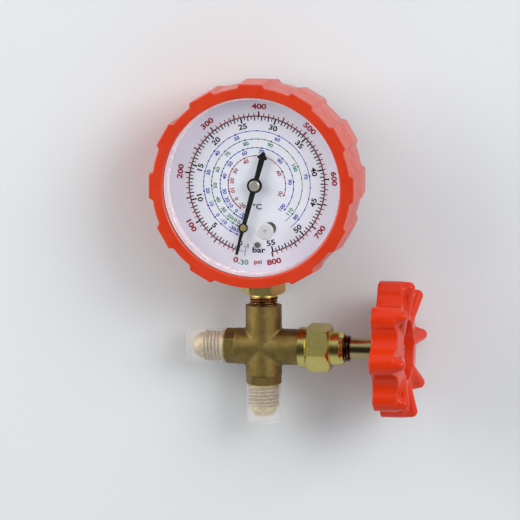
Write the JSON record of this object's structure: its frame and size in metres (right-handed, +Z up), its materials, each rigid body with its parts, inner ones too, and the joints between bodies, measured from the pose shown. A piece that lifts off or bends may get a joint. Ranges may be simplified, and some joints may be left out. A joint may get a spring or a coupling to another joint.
{
  "type": "refrigerant manifold gauge",
  "caption": "Single-valve refrigerant manifold: cross-shaped brass body with two flare ports, a handwheel valve and a booted dial gauge.",
  "frame": {"origin": "mouth of the bottom port's bore, on the port's axis", "axes": "+X towards the handwheel along the valve stem, -Y towards the reader of the dial, +Z up from the bottom port to the gauge"},
  "size_m": [0.0942, 0.0506, 0.1263],
  "materials": {
    "cast_brass": "sand-cast, matt",
    "machined_brass": "turned, bright",
    "plated_stem": "polished",
    "seal_rubber": "matt",
    "seal_plastic": "matt",
    "wheel_plastic": "gloss",
    "screw_steel": "plated",
    "plain_steel": "plain",
    "cap_plastic": "translucent soft plastic",
    "lens_plastic": "clear moulded plastic",
    "boot_rubber": "satin",
    "case_plastic": "matt",
    "dial_paint": "white enamel",
    "pointer_paint": "matt black",
    "movement_brass": "satin",
    "tube_bronze": "drawn, satin",
    "spring_bronze": "satin",
    "plug_plastic": "translucent white"
  },
  "bodies": {
    "base": {"manifold_body": "cast_brass", "valve_bonnet": "machined_brass", "gauge_socket": "machined_brass", "restrictor": "machined_brass", "gauge_case": "case_plastic", "case_screws": "plain_steel", "protective_boot": "boot_rubber", "lens_gasket": "seal_rubber", "lens": "lens_plastic", "dial_plate": "dial_paint", "dial_post": "movement_brass", "dial_screw": "movement_brass", "bourdon_tube": "tube_bronze", "movement_back_plate": "movement_brass", "movement_front_plate": "movement_brass", "movement_pillars": "movement_brass", "movement_screws": "plain_steel", "hairspring": "spring_bronze"},
    "plunger": {"seat_plunger": "machined_brass", "seat_seal": "seal_plastic"},
    "handwheel_and_stem": {"valve_stem": "plated_stem", "stem_o_rings": "seal_rubber", "handwheel": "wheel_plastic", "handwheel_washer": "plain_steel", "handwheel_screw": "screw_steel"},
    "pointer": {"pinion_arbor": "plain_steel", "pointer": "pointer_paint", "pointer_cap": "screw_steel"},
    "sector": {"sector_gear": "movement_brass"},
    "link": {"link": "movement_brass"},
    "tube_tip": {"tube_tip": "movement_brass"},
    "pointer_adjuster": {"pointer_adjuster": "movement_brass"},
    "zero_screw": {"zero_screw": "plain_steel"},
    "lens_plug": {"lens_plug": "plug_plastic"},
    "left_port_cap": {"left_port_cap": "cap_plastic"},
    "bottom_port_cap": {"bottom_port_cap": "cap_plastic"}
  },
  "joints": [
    {"name": "valve_travel", "type": "slide", "parent": "base", "child": "plunger", "axis": [-1, 0, 0], "range_m": [0, 0.003]},
    {"name": "handwheel_turn", "type": "hinge", "parent": "plunger", "child": "handwheel_and_stem", "pos_m": [0.043, 0, 0.0253], "axis": [-1, 0, 0], "range_deg": [0, 1080]},
    {"name": "pointer_turn", "type": "hinge", "parent": "base", "child": "pointer", "pos_m": [0, -0.0165, 0.0861], "axis": [0, 1, 0], "range_deg": [-6, 329], "deforming": ["hairspring"]},
    {"name": "sector_turn", "type": "hinge", "parent": "base", "child": "sector", "pos_m": [0, -0.007, 0.0696], "axis": [0, 1, 0], "range_deg": [-32.95, 0.65]},
    {"name": "link_turn", "type": "hinge", "parent": "sector", "child": "link", "pos_m": [0.0035, -0.0078, 0.06354], "axis": [0, 1, 0], "range_deg": [-0.65, 32.95]},
    {"name": "tube_tip_travel", "type": "slide", "parent": "base", "child": "tube_tip", "axis": [0.7242, 0, 0.6896], "range_m": [-0.00007, 0.00397], "stiffness_N_per_m": 2000, "deforming": ["bourdon_tube"]},
    {"name": "pointer_adjuster_turn", "type": "hinge", "parent": "pointer", "child": "pointer_adjuster", "pos_m": [-0.00428, -0.0165, 0.07068], "axis": [0, -1, 0], "range_deg": [-90, 90]},
    {"name": "zero_screw_turn", "type": "hinge", "parent": "base", "child": "zero_screw", "pos_m": [0.0052, -0.0138, 0.0705], "axis": [0, -1, 0], "range_deg": [-180, 180]},
    {"name": "lens_plug_pull", "type": "slide", "parent": "base", "child": "lens_plug", "axis": [0, -1, 0], "range_m": [0, 0.006]},
    {"name": "left_cap_pull", "type": "slide", "parent": "base", "child": "left_port_cap", "axis": [-1, 0, 0], "range_m": [0, 0.03]},
    {"name": "bottom_cap_pull", "type": "slide", "parent": "base", "child": "bottom_port_cap", "axis": [0, 0, -1], "range_m": [0, 0.03]}
  ],
  "couplings": [
    {"joint": "handwheel_turn", "follows": "valve_travel", "rad_per_m": 6283.2},
    {"joint": "pointer_turn", "follows": "tube_tip_travel", "rad_per_m": 1447.8},
    {"joint": "sector_turn", "follows": "tube_tip_travel", "rad_per_m": -144.78},
    {"joint": "link_turn", "follows": "tube_tip_travel", "rad_per_m": 144.78}
  ]
}
